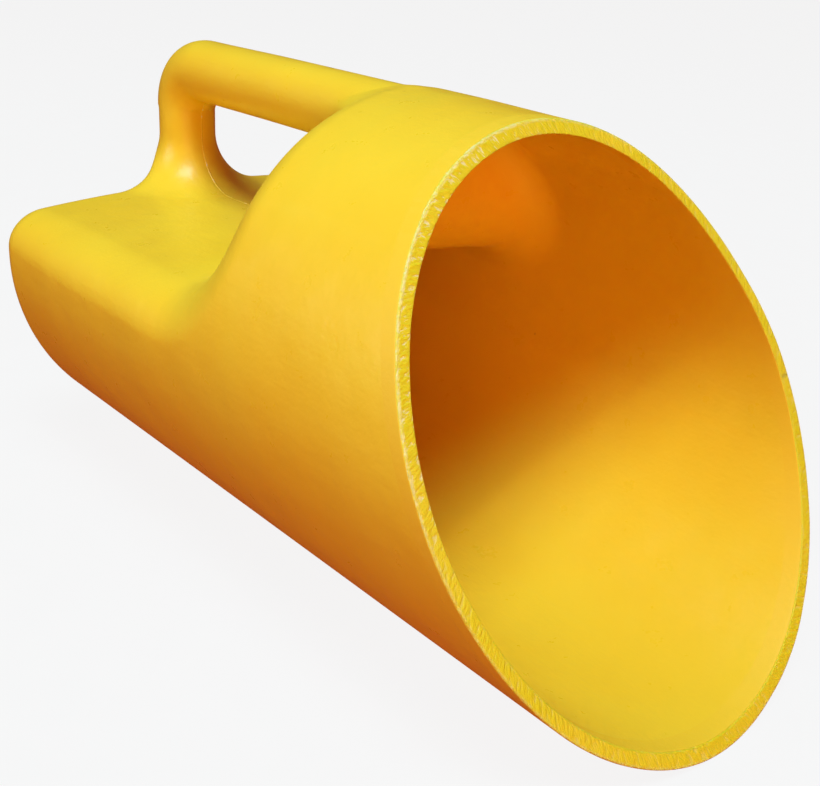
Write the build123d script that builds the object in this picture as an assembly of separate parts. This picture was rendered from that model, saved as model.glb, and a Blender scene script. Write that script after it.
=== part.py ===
from build123d import *

import math
import os

# One-piece blow-moulded feed scoop, in millimetres.
#
# A round barrel lies along X with its slanted mouth towards +X. Behind the shoulder the top of the
# barrel is cut down to a deck, and a hollow handle runs from the shoulder back to a post on the heel.
# The origin is on the resting line, half way between the heel face and the tip of the lower lip.
#
# The real scoop is a single moulding. It is written as regions that meet face to face on plane cuts,
# so that each region has its own name, finish and collision.

# Driving dimensions
BARREL_R = 65.0  # outside radius of the barrel
LENGTH = 243.0  # heel face to the tip of the lower lip
WALL = 3.4  # wall of the barrel, the heel and the handle
MOUTH_SLANT = 31.0  # degrees that the mouth plane leans back from upright
DECK_RISE = 17.5  # deck's ridge above the barrel's axis
DECK_LENGTH = 112.0  # heel face to the shoulder, along the middle
DECK_CROWN_R = 540.0  # crown of the deck, across the scoop
SHOULDER_CROWN_R = 300.0  # crown of the shoulder, seen from above
CUT_WALL = 5.6  # wall of the deck and the shoulder, which chill first against the mould and stay thick
HOLLOW_R = 20.0  # concave corner between the deck and the shoulder
EDGE_R = 12.0  # convex edges round the heel, the deck and the shoulder
BAR_R = 9.8  # outside radius of the handle's bar
POST_R = 9.2  # outside radius of the handle's post
BAR_PROUD = 0.8  # the bar's top stands this far above the barrel's top
POST_SETBACK = 9.8  # post's axis in front of the heel face
ELBOW_R = 13.0  # centre-line radius of the handle's elbow
FLARE_R = 18.0  # flare where the post meets the deck
LIP_DEPTH = 4.0  # depth of the knife-trimmed lip, square to the mouth

# Places worked out from them
AXIS_Z = BARREL_R
HEEL_X = -LENGTH / 2
LIP_RUN = BARREL_R * math.tan(math.radians(MOUTH_SLANT))
MOUTH_X = LENGTH / 2 - LIP_RUN
SHOULDER_X = HEEL_X + DECK_LENGTH
DECK_Z = AXIS_Z + DECK_RISE
BAR_Z = 2 * BARREL_R + BAR_PROUD - BAR_R
POST_X = HEEL_X + POST_SETBACK
FAR = 4 * BARREL_R  # reaches past the part in every direction
NEAR = 0.01  # close enough to be the same place

# Where the regions are cut
BARREL_CUT_X = SHOULDER_X + EDGE_R + 10
SHOULDER_CUT_X = SHOULDER_X - HOLLOW_R - 4
HEEL_CUT_X = HEEL_X + EDGE_R + 4
TROUGH_CUT_Z = DECK_Z - EDGE_R - 8
BAR_FRONT_X = SHOULDER_X - 0.5
BAR_REAR_X = POST_X + ELBOW_R
BAR_CUT_Z = BAR_Z - BAR_R - 1
ELBOW_CUT_Z = BAR_Z - ELBOW_R
POST_CUT_Z = DECK_Z + 0.5


def box(x=(-FAR, FAR), y=(-FAR, FAR), z=(-FAR, FAR)):
    """A box between two x, two y and two z values."""
    size = [high - low for low, high in (x, y, z)]
    middle = [(high + low) / 2 for low, high in (x, y, z)]
    return Pos(*middle) * Box(*size)


def cylinder_x(radius, x_from, x_to, z):
    """A rod along X."""
    return extrude(Plane.YZ.offset(x_from) * Pos(0, z) * Circle(radius), x_to - x_from)


def notch(inset):
    """The space above the crowned deck and behind the crowned shoulder, with a hollow corner."""
    front = SHOULDER_X + inset
    space = box(x=(-FAR, SHOULDER_X + BARREL_R / 2), z=(DECK_Z - BARREL_R / 2, FAR))
    space -= cylinder_x(DECK_CROWN_R - inset, -FAR, FAR, DECK_Z - DECK_CROWN_R)
    space -= Pos(front + SHOULDER_CROWN_R, 0, 0) * Cylinder(SHOULDER_CROWN_R, 2 * FAR)
    middle = Vector(front, 0, DECK_Z - inset)
    corner = min(space.edges(), key=lambda edge: (edge @ 0.5 - middle).length)
    return fillet(corner, HOLLOW_R + inset)


def on_skin(point, inset):
    """Whether a point lies on the barrel's round side or on its heel face."""
    on_side = abs(math.hypot(point.Y, point.Z - AXIS_Z) - BARREL_R + inset) < NEAR
    return on_side or abs(point.X - HEEL_X - inset) < NEAR


def body(inset, cut_inset):
    """The barrel with its deck and shoulder cut and every outside edge rounded."""
    solid = cylinder_x(BARREL_R - inset, HEEL_X + inset, FAR, AXIS_Z) - notch(cut_inset)
    rear = [edge for edge in solid.edges() if max(v.X for v in edge.vertices()) < BARREL_CUT_X]
    sharp = [edge for edge in rear if all(on_skin(edge @ t, inset) for t in (0, 0.3, 1))]
    return fillet(sharp, EDGE_R - inset)


def arm(inset):
    """The handle's bar, elbow and post as one solid rod, from inside the barrel down into the deck."""
    bar_r = BAR_R - inset
    bar = cylinder_x(bar_r, BAR_REAR_X, SHOULDER_X + EDGE_R, BAR_Z)
    quarter = Plane((BAR_REAR_X, 0, BAR_Z), x_dir=(0, 1, 0), z_dir=(-1, 0, 0))
    bend = revolve(quarter * Circle(bar_r), Axis((BAR_REAR_X, 0, ELBOW_CUT_Z), (0, -1, 0)), 90)
    foot = Plane.XY.offset(DECK_Z - EDGE_R) * Pos(POST_X, 0) * Circle(POST_R - inset)
    top = Plane.XY.offset(ELBOW_CUT_Z) * Pos(POST_X, 0) * Circle(bar_r)
    return bar + bend + loft([foot, top])


def flare(inset, cut_inset):
    """The trumpet-shaped foot of the post, narrowing to nothing at the heel face."""
    radius = POST_R - inset
    sweep = FLARE_R + inset
    ground = DECK_Z - cut_inset
    outline = Polyline((radius, ground + sweep), (0, ground + sweep), (0, ground - EDGE_R))
    outline += Polyline((0, ground - EDGE_R), (radius + sweep, ground - EDGE_R), (radius + sweep, ground))
    outline += RadiusArc((radius + sweep, ground), (radius, ground + sweep), sweep)
    trumpet = Pos(POST_X, 0, 0) * revolve(Plane.XZ * make_face(outline), Axis.Z)
    reach = POST_R + FLARE_R
    return trumpet & Pos(HEEL_X + reach, 0, 0) * Cylinder(reach - inset, FAR)


def filled(inset, cut_inset):
    """The moulding's shape as if it were solid, set in from the outside by the wall."""
    return body(inset, cut_inset) + arm(inset) + flare(inset, cut_inset)


def beyond_mouth(setback):
    """Everything in front of the slanted mouth plane, or of a parallel plane behind it."""
    tilt = Pos(MOUTH_X, 0, AXIS_Z) * Rot(0, -MOUTH_SLANT, 0)
    return tilt * Pos(FAR - setback, 0, 0) * Box(2 * FAR, 2 * FAR, 4 * FAR)


def regions():
    """The hollow moulding, cut into named regions that meet face to face."""
    shell = filled(0, 0) - filled(WALL, CUT_WALL) - beyond_mouth(0)
    behind_lip = shell - beyond_mouth(LIP_DEPTH)
    shoulder = box(x=(SHOULDER_CUT_X, BARREL_CUT_X), z=(TROUGH_CUT_Z, FAR))
    bar = box(x=(BAR_REAR_X, BAR_FRONT_X), z=(BAR_CUT_Z, FAR))
    return {
        "mouth_lip": shell & beyond_mouth(LIP_DEPTH),
        "barrel": behind_lip & box(x=(BARREL_CUT_X, FAR)),
        "shoulder": (behind_lip & shoulder) - bar,
        "trough": shell & box(x=(HEEL_CUT_X, BARREL_CUT_X), z=(-FAR, TROUGH_CUT_Z)),
        "deck": shell & box(x=(HEEL_CUT_X, SHOULDER_CUT_X), z=(TROUGH_CUT_Z, POST_CUT_Z)),
        "heel": shell & box(x=(-FAR, HEEL_CUT_X), z=(-FAR, POST_CUT_Z)),
        "handle_bar": shell & bar,
        "handle_elbow": shell & box(x=(-FAR, BAR_REAR_X), z=(ELBOW_CUT_Z, FAR)),
        "handle_post": shell & box(x=(-FAR, SHOULDER_CUT_X), z=(POST_CUT_Z, ELBOW_CUT_Z)),
    }


os.makedirs("parts", exist_ok=True)
for name, solid in regions().items():
    export_step(solid, f"parts/{name}.step")
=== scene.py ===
import math

import bpy
import numpy as np
from mathutils import Matrix, Vector


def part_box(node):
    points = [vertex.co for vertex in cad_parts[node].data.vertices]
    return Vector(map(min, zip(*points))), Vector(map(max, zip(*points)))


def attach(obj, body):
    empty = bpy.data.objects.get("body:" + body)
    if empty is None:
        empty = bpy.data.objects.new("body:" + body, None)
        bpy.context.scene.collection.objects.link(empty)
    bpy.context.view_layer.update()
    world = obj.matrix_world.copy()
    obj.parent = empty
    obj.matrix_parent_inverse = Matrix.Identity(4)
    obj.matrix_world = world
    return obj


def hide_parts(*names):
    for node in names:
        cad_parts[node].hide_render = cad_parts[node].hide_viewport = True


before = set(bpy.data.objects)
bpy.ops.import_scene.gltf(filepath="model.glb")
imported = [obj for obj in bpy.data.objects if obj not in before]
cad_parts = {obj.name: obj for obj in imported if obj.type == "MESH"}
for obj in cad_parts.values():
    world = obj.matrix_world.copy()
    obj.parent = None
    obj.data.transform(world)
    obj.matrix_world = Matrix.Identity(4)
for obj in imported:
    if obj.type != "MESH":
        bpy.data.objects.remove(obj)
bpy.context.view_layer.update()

# Feed scoop, in metres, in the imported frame: +X towards the mouth, +Z up, resting on z = 0.
MM = 0.001

# Sizes read from the frame
BARREL_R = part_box("barrel")[1].y
HEEL_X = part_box("heel")[0].x
TIP_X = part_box("mouth_lip")[1].x
BARREL_CUT_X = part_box("barrel")[0].x
SHOULDER_CUT_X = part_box("shoulder")[0].x
HEEL_CUT_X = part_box("heel")[1].x
TROUGH_CUT_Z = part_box("trough")[1].z
POST_CUT_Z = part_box("handle_post")[0].z
ELBOW_CUT_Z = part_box("handle_post")[1].z
BAR_REAR_X, BAR_FRONT_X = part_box("handle_bar")[0].x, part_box("handle_bar")[1].x
BAR_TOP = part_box("handle_bar")[1].z
BAR_CUT_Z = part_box("handle_bar")[0].z

# Driving dimensions, the same as the CAD's
WALL = 3.4 * MM
CUT_WALL = 5.6 * MM
MOUTH_SLANT = math.radians(31)
DECK_RISE = 17.5 * MM
DECK_LENGTH = 112 * MM
DECK_CROWN_R = 540 * MM
SHOULDER_CROWN_R = 300 * MM
HOLLOW_R = 20 * MM
EDGE_R = 12 * MM
BAR_R = 9.8 * MM
POST_R = 9.2 * MM
LIP_DEPTH = 4 * MM

# Sizes that only the look needs
STEP = 1.25 * MM  # grid that the rear half is meshed on
FOOT_BLEND = 17 * MM  # flare of the post into the deck
ROOT_BLEND = 6 * MM  # soft corner where the bar leaves the shoulder
POST_EDGE = 3 * MM  # rounding of the post's flat back
POST_LEAN = 1.3 * MM  # the post stands this much further back than its nominal axis
BAR_DROOP = 0.3 * MM  # sag of the bar's rear end
BAR_THIN = 0.25 * MM  # the bar has shrunk by this much on the radius
SPINE_RISE = 0.8 * MM  # low spine along the barrel's top, in line with the handle
SPINE_HALF = 14 * MM  # half width of the spine
MOUTH_SPREAD = 0.9 * MM  # the moulding has sagged this much wider towards the mouth, on its left side
SHOULDER_LEAN = 1.8 * MM  # the shoulder stands this much further back than its nominal face
FLASH_RISE = 0.35 * MM  # parting-line flash left standing on the skin
FLASH_HALF = 0.4 * MM  # half width of the flash
HEEL_CRISP = 0.15  # the deck's side edges are this much crisper at the heel than at the shoulder
ROUND = 480  # samples round the barrel
LIP_PROUD = 0.2 * MM  # the knife has left this much more lip than nominal, on average
OUTER_BREAK = 0.45 * MM  # broken outer edge of the knife-cut lip
INNER_BREAK = 0.3 * MM  # broken inner edge

AXIS_Z = BARREL_R
MOUTH_X = TIP_X - BARREL_R * math.tan(MOUTH_SLANT)
SHOULDER_X = HEEL_X + DECK_LENGTH - SHOULDER_LEAN
DECK_Z = AXIS_Z + DECK_RISE
BAR_Z = BAR_TOP - BAR_R
ELBOW_R = BAR_Z - ELBOW_CUT_Z
POST_X = BAR_REAR_X - ELBOW_R - POST_LEAN
TOP_LIP_X = MOUTH_X - BARREL_R * math.tan(MOUTH_SLANT)
CAP_X = BARREL_CUT_X + 3 * MM


def union_round(a, b, r):
    """Two solids' fields joined, with a hollow corner of radius r."""
    return np.maximum(r, np.minimum(a, b)) - np.hypot(np.maximum(r - a, 0), np.maximum(r - b, 0))


def intersection_round(a, b, r):
    """What two solids' fields share, with a rounded edge of radius r."""
    return np.minimum(-r, np.maximum(a, b)) + np.hypot(np.maximum(r + a, 0), np.maximum(r + b, 0))


def ramp(value, low, high):
    """0 below low, 1 above high, smooth between."""
    t = np.clip((value - low) / (high - low), 0, 1)
    return t * t * (3 - 2 * t)


def arm(x, y, z):
    """Distance to the handle's skin: bar, quarter-turn elbow and post."""
    z = z + BAR_DROOP * (1 - ramp(x, BAR_REAR_X, BAR_REAR_X + 45 * MM))
    end = SHOULDER_X + 22 * MM
    sink = 3 * MM * ramp(x, SHOULDER_X + EDGE_R, end + 2 * MM)
    bar = np.hypot(np.hypot(x - np.clip(x, BAR_REAR_X, end), y), z - BAR_Z + sink)
    post = np.hypot(np.hypot(x - POST_X, y), z - np.clip(z, AXIS_Z, ELBOW_CUT_Z))
    across = (BAR_REAR_X - x) * ELBOW_R / (BAR_REAR_X - POST_X)
    bend = np.hypot(np.hypot(across, z - ELBOW_CUT_Z) - ELBOW_R, y)
    turned = np.arctan2(z - ELBOW_CUT_Z, across) / (math.pi / 2)
    bar_r = BAR_R - BAR_THIN
    bend = bend - POST_R - (bar_r - POST_R) * np.clip(turned, 0, 1)
    bend = np.where((across > 0) & (z > ELBOW_CUT_Z), bend, 1.0)
    return np.minimum(np.minimum(bar - bar_r, bend), post - POST_R)


def swell(x, y, up):
    """How far the barrel stands outside its nominal radius; up is 1 at its top and -1 at its bottom."""
    spine = np.exp(-((y / SPINE_HALF) ** 2)) * ramp(up, 0, 1) * (1 - ramp(x, BARREL_CUT_X, TOP_LIP_X))
    side = ramp(y, -0.5 * BARREL_R, 0.8 * BARREL_R) * (1 - up * up) * (1 - 2.2 * ramp(up, 0, 0.8))
    spread = ramp(x, HEEL_X + 40 * MM, MOUTH_X) * side
    return SPINE_RISE * spine + MOUTH_SPREAD * spread


def moulding(p, inset=0.0, cut_inset=0.0):
    """Field of the moulding as if it were solid, negative inside, set in by the wall for the hollow."""
    x, y, z = p[..., 0], p[..., 1], p[..., 2]
    from_axis = np.hypot(y, z - AXIS_Z)
    up = (z - AXIS_Z) / np.maximum(from_axis, MM)
    barrel = from_axis - BARREL_R - swell(x, y, up) + inset
    deck = z - DECK_Z + y * y / (2 * DECK_CROWN_R)
    shoulder = SHOULDER_X + y * y / (2 * SHOULDER_CROWN_R) - x
    cut = union_round(deck, shoulder, HOLLOW_R) + cut_inset
    edge = EDGE_R * (1 - HEEL_CRISP * (1 - ramp(x, HEEL_X, HEEL_X + 40 * MM)))
    body = intersection_round(barrel, cut, edge - inset)
    middle = ramp(z, BAR_Z - BAR_R, BAR_Z)
    top = ramp(z, BAR_Z + 2 * MM, BAR_Z + BAR_R)
    root = ROOT_BLEND * (1 + middle - 1.8 * top)
    blend = FOOT_BLEND + (root - FOOT_BLEND) * ramp(x, POST_X + 30 * MM, SHOULDER_X - 20 * MM)
    whole = union_round(body, arm(x, y, z) + inset, blend + inset)
    above = ramp(z, DECK_Z, DECK_Z + FOOT_BLEND)
    back = EDGE_R + (POST_EDGE - EDGE_R) * above
    heel = HEEL_X - 2 * POST_LEAN * above - x
    return intersection_round(whole, heel + inset, back - inset * 0.8)


def outside(p):
    """Field of the moulding's outer skin."""
    return moulding(p)


def hollow(p):
    """Field of the hollow inside it."""
    return moulding(p, WALL, CUT_WALL)


def gradient(field, p, reach=0.05 * MM):
    """Direction in which a field grows, as unit vectors, and how fast."""
    rise = []
    for axis in np.eye(3):
        rise.append((field(p + axis * reach) - field(p - axis * reach)) / (2 * reach))
    rise = np.stack(rise, -1)
    size = np.maximum(np.linalg.norm(rise, axis=-1), 1e-6)
    return rise / size[..., None], size


def surface_net(field, low, high):
    """A closed mesh of a field's zero surface: one point in each cell that the surface crosses."""
    axes = [np.arange(a, b + STEP, STEP) for a, b in zip(low, high)]
    grid = np.stack(np.meshgrid(*axes, indexing="ij"), -1)
    value = field(grid)
    cells = tuple(n - 1 for n in value.shape)
    total, count = np.zeros(cells + (3,)), np.zeros(cells)
    crossings = []
    for axis in range(3):
        a = np.moveaxis(value, axis, 0)[:-1]
        b = np.moveaxis(value, axis, 0)[1:]
        start = np.moveaxis(grid, axis, 0)[:-1]
        crosses = (a < 0) != (b < 0)
        share = np.where(crosses, a / np.where(crosses, a - b, 1), 0)
        points = start + share[..., None] * STEP * np.eye(3)[axis]
        for u in (0, 1):
            for v in (0, 1):
                last = crosses.shape[1] - 1, crosses.shape[2] - 1
                window = np.s_[:, u : last[0] + u, v : last[1] + v]
                hit = crosses[window]
                np.moveaxis(count, axis, 0)[...] += hit
                np.moveaxis(total, axis, 0)[...] += points[window] * hit[..., None]
        crossings.append((crosses, a < 0))
    used = count > 0
    number = np.full(cells, -1)
    number[used] = np.arange(used.sum())
    vertices = total[used] / count[used][:, None]
    quads = []
    for axis, (crosses, inside) in enumerate(crossings):
        cell = np.moveaxis(number, axis, 0)
        inner = crosses[:, 1:-1, 1:-1]
        around = [cell[:, :-1, :-1], cell[:, 1:, :-1], cell[:, 1:, 1:], cell[:, :-1, 1:]]
        quad = np.stack([c[inner] for c in around], -1)
        backwards = ~inside[:, 1:-1, 1:-1][inner]
        if axis == 1:
            backwards = ~backwards
        quad[backwards] = quad[backwards][:, ::-1]
        quads.append(quad)
    return vertices, np.concatenate(quads)


def settle(field, vertices):
    """Moves a net's points onto the field's zero surface."""
    for _ in range(4):
        way, size = gradient(field, vertices)
        vertices = vertices - way * np.clip(field(vertices) / size, -STEP, STEP)[:, None]
    return vertices


def mesh_object(name, vertices, faces):
    """A Blender mesh object from arrays."""
    mesh = bpy.data.meshes.new(name)
    mesh.from_pydata(np.asarray(vertices).tolist(), [], np.asarray(faces).tolist())
    mesh.update()
    made = bpy.data.objects.new(name, mesh)
    bpy.context.scene.collection.objects.link(made)
    return made


def box_object(name, low, high):
    """A closed box between two corners."""
    corners = [(x, y, z) for x in (low[0], high[0]) for y in (low[1], high[1]) for z in (low[2], high[2])]
    faces = [(0, 1, 3, 2), (4, 6, 7, 5), (0, 4, 5, 1), (2, 3, 7, 6), (0, 2, 6, 4), (1, 5, 7, 3)]
    return mesh_object(name, corners, faces)


def combined(name, base, steps):
    """A new object: base with each (operation, tool) applied in turn as an exact boolean."""
    made = bpy.data.objects.new(name, base.data.copy())
    bpy.context.scene.collection.objects.link(made)
    for operation, tool in steps:
        change = made.modifiers.new(operation, "BOOLEAN")
        change.operation, change.solver, change.object = operation, "MANIFOLD", tool
    graph = bpy.context.evaluated_depsgraph_get()
    result = bpy.data.meshes.new_from_object(made.evaluated_get(graph))
    made.modifiers.clear()
    made.data = result
    result.name = name
    return made


def shade_by_field(made):
    """Sets normals from the fields, so that pieces of one skin meet without a seam. Cut faces stay flat."""
    mesh = made.data
    count = len(mesh.vertices)
    co = np.empty(count * 3)
    mesh.vertices.foreach_get("co", co)
    co = co.reshape(-1, 3)
    out_value, in_value = outside(co), hollow(co)
    out_way, _ = gradient(outside, co)
    in_way, _ = gradient(hollow, co)
    on_out = np.abs(out_value) < np.abs(in_value)
    normals = np.where(on_out[:, None], out_way, -in_way)
    loops = np.empty(len(mesh.loops), int)
    mesh.loops.foreach_get("vertex_index", loops)
    faces = len(mesh.polygons)
    starts, sizes = np.empty(faces, int), np.empty(faces, int)
    flat, centres = np.empty(faces * 3), np.empty(faces * 3)
    mesh.polygons.foreach_get("loop_start", starts)
    mesh.polygons.foreach_get("loop_total", sizes)
    mesh.polygons.foreach_get("normal", flat)
    mesh.polygons.foreach_get("center", centres)
    owner = np.repeat(np.arange(faces), sizes)
    flat, centres = flat.reshape(-1, 3)[owner], centres.reshape(-1, 3)[owner]
    per_loop = normals[loops]
    along = np.einsum("ij,ij->i", per_loop, flat)
    deep = np.minimum(np.abs(outside(centres)), np.abs(hollow(centres))) > 0.15 * MM
    square_on = np.max(np.abs(flat), axis=1) > 0.99999
    per_loop = np.where(((along < 0.5) | (deep & square_on))[:, None], flat, per_loop)
    mesh.polygons.foreach_set("use_smooth", np.ones(faces, bool))
    mesh.polygons.foreach_set("material_index", (deep & square_on)[starts].astype(np.int32))
    mesh.normals_split_custom_set(per_loop.tolist())
    mesh.update()


def rear_pieces():
    """The rear half of the moulding, meshed as one skin and cut into the frame's regions."""
    wide = BARREL_R + 3 * STEP
    low = (HEEL_X - 3 * STEP, -wide, -3 * STEP)
    high = (CAP_X + 3 * STEP, wide, BAR_TOP + 3 * STEP)
    skin_points, skin_faces = surface_net(lambda p: np.maximum(outside(p), p[..., 0] - CAP_X), low, high)
    void_points, void_faces = surface_net(lambda p: np.maximum(hollow(p), p[..., 0] - CAP_X - STEP), low, high)
    free = skin_points[:, 0] < CAP_X - STEP
    skin_points[free] = settle(outside, skin_points[free])
    free = void_points[:, 0] < CAP_X
    void_points[free] = settle(hollow, void_points[free])
    skin = mesh_object("skin", skin_points, skin_faces)
    void = mesh_object("void", void_points, void_faces)
    left, right = -1.0, 1.0  # well outside the part
    regions = {
        "shoulder": ((SHOULDER_CUT_X, left, TROUGH_CUT_Z), (BARREL_CUT_X, right, right)),
        "trough": ((HEEL_CUT_X, left, left), (BARREL_CUT_X, right, TROUGH_CUT_Z)),
        "deck": ((HEEL_CUT_X, left, TROUGH_CUT_Z), (SHOULDER_CUT_X, right, POST_CUT_Z)),
        "heel": ((left, left, left), (HEEL_CUT_X, right, POST_CUT_Z)),
        "handle_bar": ((BAR_REAR_X, left, BAR_CUT_Z), (BAR_FRONT_X, right, right)),
        "handle_elbow": ((left, left, ELBOW_CUT_Z), (BAR_REAR_X, right, right)),
        "handle_post": ((left, left, POST_CUT_Z), (SHOULDER_CUT_X, right, ELBOW_CUT_Z)),
    }
    tools = {node: box_object("cut_" + node, low, high) for node, (low, high) in regions.items()}
    made = []
    for node, tool in tools.items():
        steps = [("INTERSECT", tool), ("DIFFERENCE", void)]
        if node == "shoulder":
            steps.insert(1, ("DIFFERENCE", tools["handle_bar"]))
        piece = combined("skin_" + node, skin, steps)
        shade_by_field(piece)
        made.append((piece, node))
    for tool in [skin, void, *tools.values()]:
        bpy.data.objects.remove(tool)
    return made


def wander(angle, seed, waves, size):
    """A smooth closed wobble round the barrel, made of a few sine waves."""
    source = np.random.default_rng(seed)
    total = np.zeros_like(angle)
    for wave in waves:
        total += source.normal() * np.sin(wave * angle + source.uniform(0, 2 * math.pi)) / math.sqrt(wave)
    return total * size / math.sqrt(len(waves))


def flash_piece():
    """The low ridge left where the mould's halves met, round the inside of the hand hole."""
    turn = np.linspace(0, 2 * math.pi, 360, endpoint=False)
    way = np.stack([np.cos(turn), 0 * turn, np.sin(turn)], -1)
    start = np.array([(POST_X + SHOULDER_X) / 2, 0, (DECK_Z + BAR_Z - BAR_R) / 2])
    reach = np.full(len(turn), MM)
    for _ in range(90):  # walks out to the skin in damped steps
        reach += 0.7 * outside(start + way * reach[:, None])
    middle = start + way * reach[:, None]
    up, _ = gradient(outside, middle)
    side = np.array([0, 1.0, 0])
    rise = FLASH_RISE * (0.1 + 0.9 * ramp(wander(turn, 21, (3, 7, 16, 29, 41), 1.0), -0.6, 0.9))
    fade = math.radians(16)
    by_post = ramp(turn, math.radians(188), math.radians(188) + fade)
    by_post = by_post - ramp(turn, math.radians(226), math.radians(226) + fade)
    rise = rise * (0.3 + 0.7 * by_post)
    half = FLASH_HALF * (1 + 0.3 * wander(turn, 22, (5, 19, 33), 1.0))
    rings = [
        middle - side * half[:, None] - up * FLASH_RISE,
        middle - side * half[:, None] * 0.5 + up * rise[:, None] * 0.6,
        middle + up * rise[:, None],
        middle + side * half[:, None] * 0.5 + up * rise[:, None] * 0.6,
        middle + side * half[:, None] - up * FLASH_RISE,
    ]
    return ring_grid("parting_flash", rings, ())


def ring_grid(name, rings, cap_rows):
    """A closed tube-like shell from rings of points. Each of cap_rows and the row after it bound a cut face."""
    rings = np.asarray(rings)
    rows, across = rings.shape[:2]
    r, c = np.meshgrid(np.arange(rows), np.arange(across), indexing="ij")
    down, along = (r + 1) % rows, (c + 1) % across
    quads = np.stack([r * across + c, down * across + c, down * across + along, r * across + along], -1)
    made = mesh_object(name, rings.reshape(-1, 3), quads.reshape(-1, 4))
    mesh = made.data
    sharp = mesh.attributes.new("sharp_edge", "BOOLEAN", "EDGE")
    corner = np.zeros(rows, bool)
    for cap in cap_rows:
        corner[[cap, (cap + 1) % rows]] = True
    ends = np.empty(len(mesh.edges) * 2, int)
    mesh.edges.foreach_get("vertices", ends)
    ends = ends.reshape(-1, 2) // across
    sharp.data.foreach_set("value", (ends[:, 0] == ends[:, 1]) & corner[ends[:, 0]])
    capped = np.isin(r, cap_rows).ravel()
    mesh.polygons.foreach_set("material_index", capped.astype(np.int32))
    mesh.polygons.foreach_set("use_smooth", np.ones(len(mesh.polygons), bool))
    return made


ANGLE = np.linspace(0, 2 * math.pi, ROUND, endpoint=False)


def ring(radius, x):
    """Points round the barrel at a radius."""
    up = np.sin(ANGLE)
    radius = radius + swell(x, radius * np.cos(ANGLE), up)
    return np.stack([x + 0 * radius, radius * np.cos(ANGLE), radius * up + AXIS_Z], -1)


def mouth_ring(radius, back):
    """Points round the barrel at a radius, a given distance behind the mouth plane, square to it."""
    height = radius * np.sin(ANGLE)
    return ring(radius, MOUTH_X - height * math.tan(MOUTH_SLANT) - back / math.cos(MOUTH_SLANT))


def barrel_piece():
    """The barrel from the region cut to the back of the trimmed lip."""
    inner = BARREL_R - WALL
    share = np.linspace(0, 1, 60)
    rings = []
    for radius, order in ((BARREL_R, share), (inner, share[::-1])):
        front_x = mouth_ring(radius, LIP_DEPTH)[:, 0]
        rings += [ring(radius, BARREL_CUT_X + (front_x - BARREL_CUT_X) * s) for s in order]
    return ring_grid("skin_barrel", rings, (len(share) - 1, 2 * len(share) - 1))


def lip_piece():
    """The lip that the trimming knife left: a hand-cut face with broken edges, a little uneven.

    Its finish reads five attributes: cut and brink mark the cut face and its outer edge, along and across
    say where a point is on the lip, and the fifth, on the knife's work, is high where the knife went over it
    more than once, and also sets how strong the painted highlight along the outer edge is.
    """
    inner = BARREL_R - WALL
    cut = wander(ANGLE, 3, (2, 3, 5, 7, 11), 0.28 * MM) + wander(ANGLE, 5, (17, 23, 31), 0.1 * MM)
    chatter = wander(ANGLE, 9, (90, 131, 170), 0.03 * MM)
    uneven = cut - LIP_PROUD + np.abs(chatter)
    outer_break = OUTER_BREAK * (1 + 0.5 * wander(ANGLE, 12, (4, 9, 15, 26), 1.0))
    outer_break = np.clip(outer_break, 0.2 * MM, 0.8 * MM)
    rings = [mouth_ring(BARREL_R, back) for back in (LIP_DEPTH, LIP_DEPTH * 0.6, uneven + 1.2 * MM)]
    for turn in np.linspace(0, math.pi / 2, 6):
        sunk, back = 1 - math.cos(turn), 1 - math.sin(turn)
        rings.append(mouth_ring(BARREL_R - outer_break * sunk, uneven + outer_break * back))
    for share in (0.25, 0.5, 0.75):
        rings.append(mouth_ring(BARREL_R - WALL * share, uneven + chatter * math.sin(9 * share)))
    for turn in np.linspace(math.pi / 2, 0, 5):
        sunk, back = 1 - math.cos(turn), 1 - math.sin(turn)
        rings.append(mouth_ring(inner + INNER_BREAK * sunk, uneven + INNER_BREAK * back))
    rings += [mouth_ring(inner, back) for back in (uneven + 1.2 * MM, LIP_DEPTH * 0.6, LIP_DEPTH)]
    made = ring_grid("lip_mouth", rings, (len(rings) - 1,))
    cut = np.zeros((len(rings), ROUND), np.float32)
    cut[4:-4] = 1.0  # every ring from the outer break to the inner one
    brink = np.zeros((len(rings), ROUND), np.float32)
    brink[5:9] = 1.0  # the rings of the outer break
    along = np.broadcast_to(ANGLE * BARREL_R, cut.shape).astype(np.float32)
    across = np.broadcast_to(np.linspace(0, 1, len(rings))[:, None], cut.shape).astype(np.float32)
    start, end = math.radians(88), math.radians(178)
    fade = math.radians(12)
    # High on the upper-left stretch of the rim: more knife strokes there, and a stronger painted highlight
    # along the outer edge
    knife_work_and_glint = 0.25 + ramp(ANGLE, start, start + fade) - ramp(ANGLE, end, end + fade)
    knife_work_and_glint = np.broadcast_to(knife_work_and_glint, cut.shape).astype(np.float32)
    shares = {"cut": cut, "brink": brink, "along": along, "across": across, "knife_work_and_glint": knife_work_and_glint}
    for title, values in shares.items():
        made.data.attributes.new(title, "FLOAT", "POINT").data.foreach_set("value", values.ravel())
    return made


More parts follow.
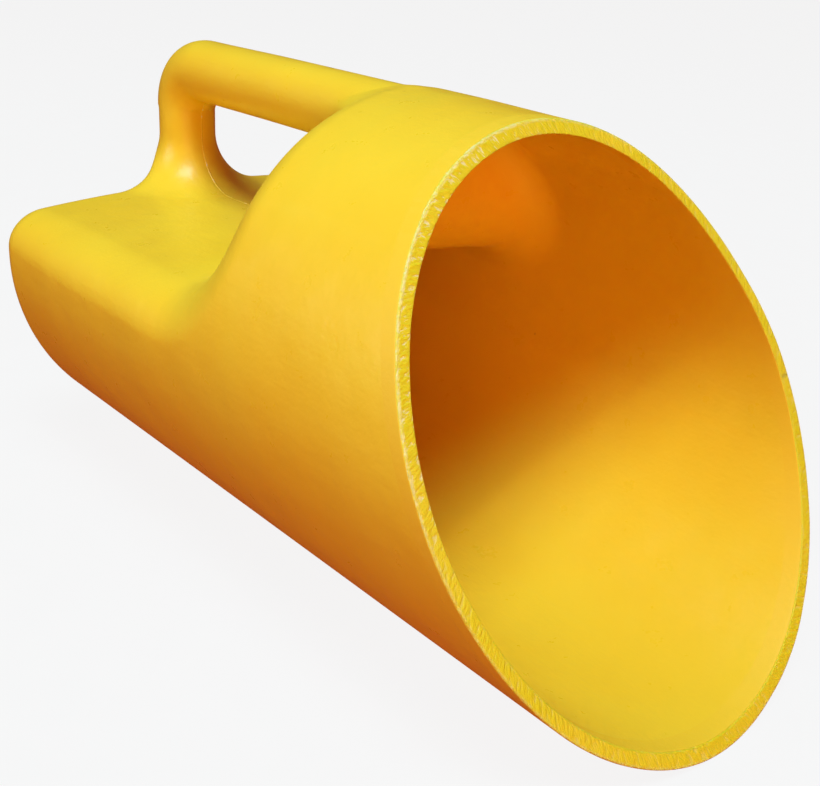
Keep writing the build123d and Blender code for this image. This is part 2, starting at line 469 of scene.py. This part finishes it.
class Nodes:
    """A short way to write a material's node tree."""

    def __init__(self, name):
        self.material = bpy.data.materials.new(name)
        self.material.use_nodes = True
        self.tree = self.material.node_tree
        self.shader = self.tree.nodes["Principled BSDF"]
        self.place = self.tree.nodes.new("ShaderNodeTexCoord").outputs["Object"]

    def node(self, kind, settings=(), **inputs):
        made = self.tree.nodes.new("ShaderNode" + kind)
        for key, value in dict(settings).items():
            setattr(made, key, value)
        for key, value in inputs.items():
            self.put(made.inputs[key.replace("_", " ")], value)
        return made

    def put(self, socket, value):
        if isinstance(value, bpy.types.NodeSocket):
            self.tree.links.new(value, socket)
        else:
            socket.default_value = value

    def stretched(self, scale):
        made = self.node("Mapping", Vector=self.place)
        made.inputs["Scale"].default_value = scale
        return made.outputs["Vector"]

    def noise(self, scale, detail=3.0, roughness=0.5, vector=None):
        where = vector or self.place
        made = self.node("TexNoise", Vector=where, Scale=scale, Detail=detail, Roughness=roughness)
        return made.outputs["Fac"]

    def range(self, value, low, high, to_low=0.0, to_high=1.0):
        made = self.node("MapRange", {"interpolation_type": "SMOOTHSTEP"}, Value=value)
        made.inputs["From Min"].default_value, made.inputs["From Max"].default_value = low, high
        made.inputs["To Min"].default_value, made.inputs["To Max"].default_value = to_low, to_high
        return made.outputs["Result"]

    def math(self, operation, a, b=0.0):
        made = self.node("Math", {"operation": operation})
        self.put(made.inputs[0], a)
        self.put(made.inputs[1], b)
        return made.outputs[0]

    def mix(self, share, a, b):
        made = self.node("Mix", {"data_type": "RGBA"})
        self.put(made.inputs["Factor"], share)
        self.put(made.inputs[6], a)
        self.put(made.inputs[7], b)
        return made.outputs[2]

    def glow(self, share, tint, normal):
        """Lets part of the light through the skin, as thin waxy plastic does."""
        through = self.node("BsdfTranslucent", Color=tint, Normal=normal)
        both = self.node("MixShader", Fac=share)
        self.tree.links.new(self.shader.outputs[0], both.inputs[1])
        self.tree.links.new(through.outputs[0], both.inputs[2])
        self.tree.links.new(both.outputs[0], self.tree.nodes["Material Output"].inputs["Surface"])

    def attribute(self, title):
        return self.node("Attribute", {"attribute_name": title}).outputs["Fac"]

    def bump(self, height, strength, distance, under=None):
        made = self.node("Bump", Height=height, Strength=strength, Distance=distance)
        if under is not None:
            self.put(made.inputs["Normal"], under)
        return made.outputs["Normal"]


def colour(r, g, b):
    return (r, g, b, 1.0)


SKIN_COLOUR = colour(0.96, 0.655, 0.030)
LIP_COLOUR = colour(0.76, 0.72, 0.014)
GLOW_COLOUR = colour(1.0, 0.22, 0.004)  # of light that has come through the wall
GLOW = 0.12  # share of the light that goes through the skin instead of off it
LOW_LIGHT = colour(0.36, 0.035, 0.022)  # warm light from around and below
HIGH_LIGHT = colour(0.11, 0.055, 0.06)  # dim light from above


def moulded_skin():
    """Waxy blow-moulded polyethylene: soft gloss, fine orange peel, faint die lines, specks and scuffs."""
    n = Nodes("moulded_skin")
    along = n.stretched((12, 260, 260))
    lines = n.noise(1.0, 4.0, 0.6, along)
    cloud = n.noise(26.0, 2.0)
    grime = n.noise(140.0, 5.0, 0.65)
    base = n.mix(n.range(cloud, 0.35, 0.65), SKIN_COLOUR, colour(0.97, 0.685, 0.034))
    base = n.mix(n.range(lines, 0.5, 0.8, 0.0, 0.12), base, colour(0.98, 0.74, 0.07))
    speck = n.node("TexVoronoi", {"feature": "F1"}, Vector=n.place, Scale=75.0)
    near_speck = n.range(speck.outputs["Distance"], 0.0, 0.05, 1.0, 0.0)
    dots = n.math("MULTIPLY", near_speck, n.range(cloud, 0.55, 0.6))
    base = n.mix(n.math("MULTIPLY", dots, 0.35), base, colour(0.22, 0.09, 0.01))
    scuff = n.noise(1.0, 6.0, 0.7, n.stretched((90, 420, 420)))
    scuffs = n.math("MULTIPLY", n.range(scuff, 0.63, 0.7), n.range(grime, 0.5, 0.62))
    base = n.mix(n.math("MULTIPLY", scuffs, 0.07), base, colour(1.0, 0.78, 0.16))
    rough = n.math("ADD", n.range(grime, 0.3, 0.7, 0.27, 0.38), n.math("MULTIPLY", scuffs, 0.06))
    peel = n.bump(n.noise(900.0, 2.0), 0.12, 0.0004)
    peel = n.bump(n.noise(230.0, 2.0), 0.10, 0.0012, peel)
    peel = n.bump(n.noise(38.0, 1.0), 0.18, 0.004, peel)
    peel = n.bump(lines, 0.10, 0.0006, peel)
    n.put(n.shader.inputs["Base Color"], base)
    n.put(n.shader.inputs["Roughness"], rough)
    n.put(n.shader.inputs["Normal"], peel)
    n.shader.inputs["Specular IOR Level"].default_value = 0.45
    n.glow(GLOW, GLOW_COLOUR, peel)
    return n.material


def trimmed_edge():
    """The knife-cut lip: matt, paler where the blade drew the plastic, with short strokes across it and a pale
    line along its outer edge that is partly burr and partly painted highlight.
    """
    n = Nodes("trimmed_edge")
    cut, rim, along, across, knife_work_and_glint = (n.attribute(x) for x in ("cut", "brink", "along", "across", "knife_work_and_glint"))
    # Strokes about a millimetre apart, slanted over the cut face
    over = n.math("MULTIPLY", across, 7.0)
    slanted = n.math("ADD", n.math("MULTIPLY", along, 980.0), over)
    path = n.node("CombineXYZ", X=slanted, Y=over, Z=n.math("MULTIPLY", along, 60.0))
    strokes = n.noise(1.0, 3.0, 0.6, path.outputs[0])
    patches = n.noise(45.0, 2.0)
    fray = n.noise(700.0, 4.0, 0.7)
    bare = n.mix(n.range(patches, 0.35, 0.65), LIP_COLOUR, colour(0.80, 0.72, 0.022))
    whitened = n.math("MULTIPLY", n.range(strokes, 0.55, 0.66), knife_work_and_glint)
    # Pale line along the outer edge: partly the knife's burr, partly a painted highlight on the rounded edge,
    # stronger on the upper-left stretch
    burr_and_glint_line = n.math("MULTIPLY", rim, n.range(fray, 0.38, 0.62, 0.1, 0.75))
    burr_and_glint_line = n.math("MULTIPLY", burr_and_glint_line, n.range(knife_work_and_glint, 0.2, 1.2, 0.45, 0.9))
    bare = n.mix(burr_and_glint_line, bare, colour(0.84, 0.86, 0.38))
    bare = n.mix(n.math("MULTIPLY", whitened, 0.6), bare, colour(0.84, 0.90, 0.48))
    base = n.mix(cut, SKIN_COLOUR, bare)
    cut_bump = n.bump(n.math("MULTIPLY", strokes, cut), 0.6, 0.0008)
    cut_bump = n.bump(fray, 0.25, 0.0003, cut_bump)
    n.put(n.shader.inputs["Base Color"], base)
    n.put(n.shader.inputs["Roughness"], n.range(strokes, 0.3, 0.7, 0.4, 0.62))
    n.put(n.shader.inputs["Normal"], cut_bump)
    n.shader.inputs["Specular IOR Level"].default_value = 0.45
    n.glow(n.range(cut, 0.0, 1.0, GLOW, GLOW * 0.6), GLOW_COLOUR, cut_bump)
    return n.material


def flash_skin():
    """The flash: the same plastic, glossier, with pale patches painted on it as glints."""
    n = Nodes("flash_skin")
    glint_and_grain_noise = n.noise(420.0, 4.0, 0.7)
    # Pale patches painted on the flash as glints of light
    base = n.mix(n.range(glint_and_grain_noise, 0.56, 0.66, 0.05, 0.9), SKIN_COLOUR, colour(0.95, 0.86, 0.62))
    n.put(n.shader.inputs["Base Color"], base)
    n.put(n.shader.inputs["Roughness"], n.range(glint_and_grain_noise, 0.3, 0.7, 0.18, 0.4))
    n.put(n.shader.inputs["Normal"], n.bump(glint_and_grain_noise, 0.3, 0.0003))
    return n.material


def cut_face():
    """The faces where two regions of the one moulding meet. Light passes on from one to the next."""
    n = Nodes("cut_face")
    grain = n.noise(200.0, 2.0)
    tint = n.mix(grain, colour(1.0, 0.90, 0.35), colour(1.0, 0.88, 0.30))
    n.glow(1.0, tint, n.bump(grain, 0.02, 0.0001))
    return n.material


def finish_with(piece, materials):
    """Gives a piece its materials, and keeps which face has which."""
    mesh = piece.data
    which = np.empty(len(mesh.polygons), np.int32)
    mesh.polygons.foreach_get("material_index", which)
    mesh.materials.clear()
    for material in materials:
        mesh.materials.append(material)
    mesh.polygons.foreach_set("material_index", which)


def pale_floor():
    """A pale floor that glows a little, so that the shadow on it stays faint."""
    n = Nodes("pale_floor")
    grain = n.noise(60.0, 4.0)
    n.put(n.shader.inputs["Base Color"], n.mix(grain, colour(0.035, 0.035, 0.035), colour(0.045, 0.045, 0.045)))
    n.shader.inputs["Roughness"].default_value = 0.9
    n.shader.inputs["Specular IOR Level"].default_value = 0.0
    n.shader.inputs["Emission Color"].default_value = colour(1, 1, 1)
    n.shader.inputs["Emission Strength"].default_value = 0.885
    return n.material


def studio_world():
    """Dim daylight from above and warm light from below. The camera itself sees a pale backdrop."""
    world = bpy.data.worlds.new("studio")
    world.use_nodes = True
    nodes, links = world.node_tree.nodes, world.node_tree.links
    ray = nodes.new("ShaderNodeLightPath")
    place = nodes.new("ShaderNodeTexCoord")
    parts = nodes.new("ShaderNodeSeparateXYZ")
    blend = nodes.new("ShaderNodeMapRange")
    sides = nodes.new("ShaderNodeMix")
    shown = nodes.new("ShaderNodeMix")
    sides.data_type = shown.data_type = "RGBA"
    blend.inputs["From Min"].default_value, blend.inputs["From Max"].default_value = -0.3, 0.95
    links.new(place.outputs["Generated"], parts.inputs[0])
    links.new(parts.outputs["Z"], blend.inputs["Value"])
    links.new(blend.outputs["Result"], sides.inputs["Factor"])
    sides.inputs[6].default_value = LOW_LIGHT
    sides.inputs[7].default_value = HIGH_LIGHT
    links.new(ray.outputs["Is Camera Ray"], shown.inputs["Factor"])
    links.new(sides.outputs[2], shown.inputs[6])
    shown.inputs[7].default_value = colour(0.92, 0.92, 0.92)
    links.new(shown.outputs[2], nodes["Background"].inputs["Color"])
    return world


def soft_box(name, aim, way, distance, size, power, tint):
    """A round soft box at a distance along a direction, aimed at a point."""
    data = bpy.data.lights.new(name, "AREA")
    data.shape, data.size, data.energy, data.color = "DISK", size, power, tint
    made = bpy.data.objects.new(name, data)
    way = Vector(way).normalized()
    made.location = aim + way * distance
    made.rotation_euler = way.to_track_quat("Z", "Y").to_euler()
    bpy.context.scene.collection.objects.link(made)


# The object
skin = moulded_skin()
edge = trimmed_edge()
meeting = cut_face()
pieces = [(barrel_piece(), "barrel"), (lip_piece(), "mouth_lip")] + rear_pieces()
for piece, node in pieces:
    is_lip = node == "mouth_lip"
    finish_with(piece, [edge if is_lip else skin, meeting])
    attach(piece, "root")
    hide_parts(node)

flash = flash_piece()
finish_with(flash, [flash_skin()])
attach(flash, "root")

# The floor and the light
floor = mesh_object("floor", [(-6, -6, 0), (6, -6, 0), (6, 6, 0), (-6, 6, 0)], [(0, 1, 2, 3)])
floor.data.materials.append(pale_floor())
floor.visible_diffuse = floor.visible_glossy = floor.visible_transmission = False
middle = Vector(((HEEL_X + TIP_X) / 2, 0, AXIS_Z))
LIGHTS = (  # name, direction, distance, size, power, colour
    ("key", (0.25, -0.22, 0.95), 1.5, 0.8, 23, (0.61, 0.88, 0.97)),
    ("spark", (0.25, -0.22, 0.95), 1.5, 0.1, 2, (1.0, 1.0, 1.0)),
    ("fill", (-0.35, -0.90, 0.42), 1.6, 1.0, 9.0, (0.64, 0.90, 0.92)),
    ("front", (0.95, -0.24, 0.12), 1.5, 1.0, 4.5, (1.0, 0.36, 0.14)),
    ("near", (0.80, -0.58, 0.05), 1.5, 1.0, 10, (1.0, 0.36, 0.14)),
)
for name, way, distance, size, power, tint in LIGHTS:
    soft_box(name, middle, way, distance, size, power, tint)
bpy.context.scene.world = studio_world()

# The camera, with a slight roll. It aims at a point given in barrel radii from the mouth's centre.
AZIMUTH, ELEVATION, ROLL = math.radians(47.754), math.radians(23.637), math.radians(3.5)
AIM = (MOUTH_X - 0.6457 * BARREL_R, -0.4806 * BARREL_R, AXIS_Z + 0.0338 * BARREL_R)
DISTANCE = 4.117 * BARREL_R
SENSOR_WIDTH, FOCAL_LENGTH = 36.0, 49.34
back = Vector((
    math.sin(AZIMUTH) * math.cos(ELEVATION),
    -math.cos(AZIMUTH) * math.cos(ELEVATION),
    math.sin(ELEVATION),
))
camera = bpy.data.objects.new("camera", bpy.data.cameras.new("camera"))
camera.data.sensor_width, camera.data.lens = SENSOR_WIDTH, FOCAL_LENGTH
camera.data.clip_start = 0.01
turn = back.to_track_quat("Z", "Y").to_matrix() @ Matrix.Rotation(ROLL, 3, "Z")
camera.matrix_world = Matrix.Translation(Vector(AIM) + back * DISTANCE) @ turn.to_4x4()
bpy.context.scene.collection.objects.link(camera)
bpy.context.scene.camera = camera
bpy.context.scene.view_settings.view_transform = "Standard"
